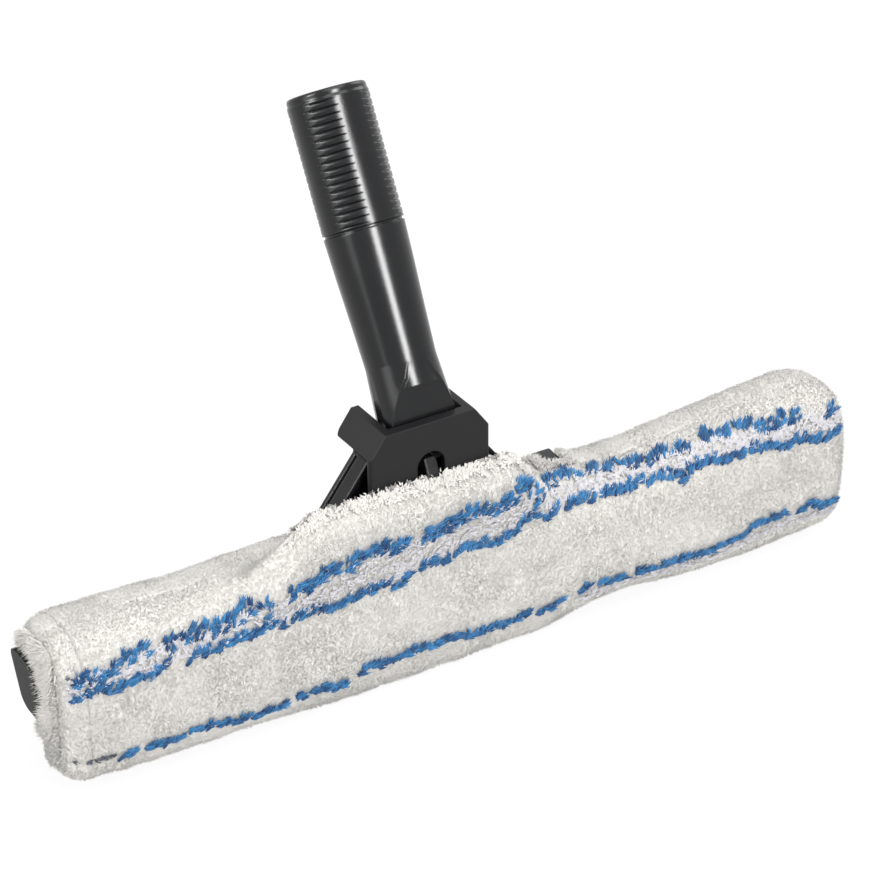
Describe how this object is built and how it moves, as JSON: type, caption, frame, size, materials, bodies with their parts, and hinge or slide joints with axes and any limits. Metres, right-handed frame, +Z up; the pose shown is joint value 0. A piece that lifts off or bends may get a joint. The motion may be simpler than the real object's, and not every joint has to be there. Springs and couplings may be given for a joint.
{
  "type": "window scrubber",
  "caption": "T-bar window scrubber with a pile sleeve, blue scrubbing yarn lines, a hooded hinge and a ribbed grip handle that tilts and takes a pole.",
  "frame": {"origin": "on the sleeve's flat underside, below the middle of the crossbar", "axes": "+X along the crossbar towards the sleeve's closed end, +Y to the back, the way the handle leans, +Z up from the sleeve to the handle"},
  "size_m": [0.361, 0.0972, 0.2227],
  "materials": {
    "bar_metal": "plain extruded",
    "black_plastic": "matt moulded",
    "yoke_plastic": "satin moulded",
    "housing_plastic": "satin moulded",
    "handle_plastic": "smooth moulded",
    "pin_metal": "zinc plated",
    "washer_rubber": "matt",
    "bush_brass": "turned",
    "white_pile": "soft cut pile",
    "hem_pile": "turned and stitched pile",
    "end_pile": "soft cut pile",
    "lining_cloth": "plain woven",
    "blue_yarn": "coarse looped yarn",
    "black_tape": "hook and loop tape"
  },
  "bodies": {
    "head": {"crossbar": "bar_metal", "end_cap_left": "black_plastic", "end_cap_right": "black_plastic", "yoke": "yoke_plastic", "bar_rivets": "pin_metal", "housing": "housing_plastic", "hinge_pin": "pin_metal", "pin_clip": "pin_metal", "friction_washers": "washer_rubber", "sleeve_pile": "white_pile", "sleeve_lining": "lining_cloth", "sleeve_hem": "hem_pile", "end_panel": "end_pile", "scrub_yarn_upper": "blue_yarn", "scrub_yarn_middle": "blue_yarn", "scrub_yarn_lower": "blue_yarn", "closure_strap": "black_tape", "hook_patch": "black_tape"},
    "handle": {"handle": "handle_plastic", "hinge_bushes": "bush_brass"}
  },
  "joints": [
    {"name": "handle_tilt", "type": "hinge", "parent": "head", "child": "handle", "pos_m": [0, -0.0035, 0.0995], "axis": [-1, 0, 0], "range_deg": [0, 35]}
  ]
}
